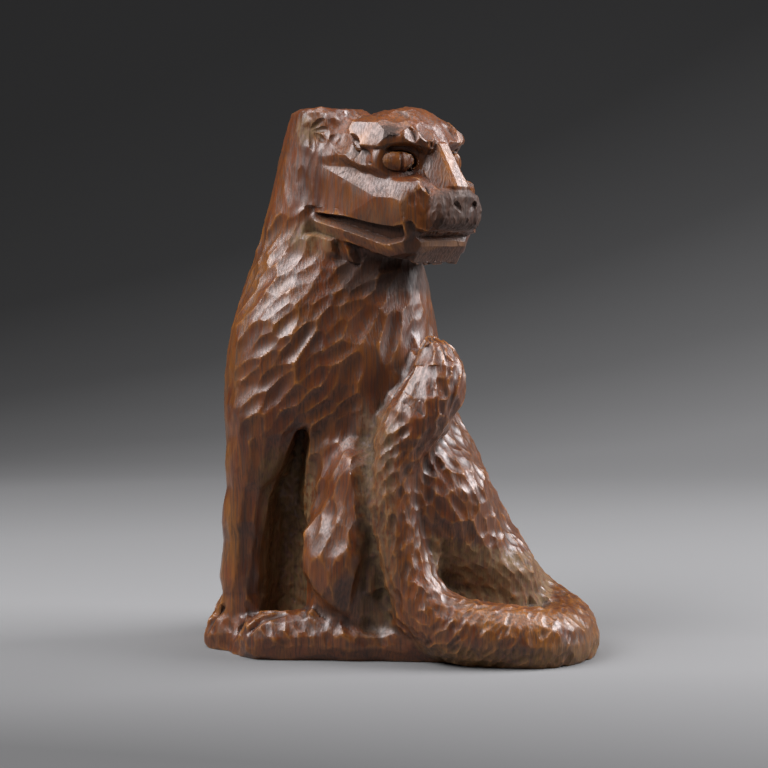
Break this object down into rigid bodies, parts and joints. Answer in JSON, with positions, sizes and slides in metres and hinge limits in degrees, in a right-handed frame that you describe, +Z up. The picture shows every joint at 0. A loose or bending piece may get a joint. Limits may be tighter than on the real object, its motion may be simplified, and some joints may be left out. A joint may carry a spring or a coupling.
{
  "type": "tiger sculpture",
  "caption": "Seated tiger carved from one block of dark hardwood, looking back over its left shoulder, with its tail wrapped round its left side and up the flank.",
  "frame": {"origin": "on the sawn underside, in the middle plane of the body, below the middle of its length", "axes": "+Z up; the body faces -X and its left side faces -Y; the head looks towards +X and -Y"},
  "size_m": [0.3341, 0.2275, 0.454],
  "materials": {
    "wood": "gouge-cut reddish brown hardwood under old gloss varnish"
  },
  "bodies": {
    "root": {"tiger": "wood"}
  },
  "joints": []
}
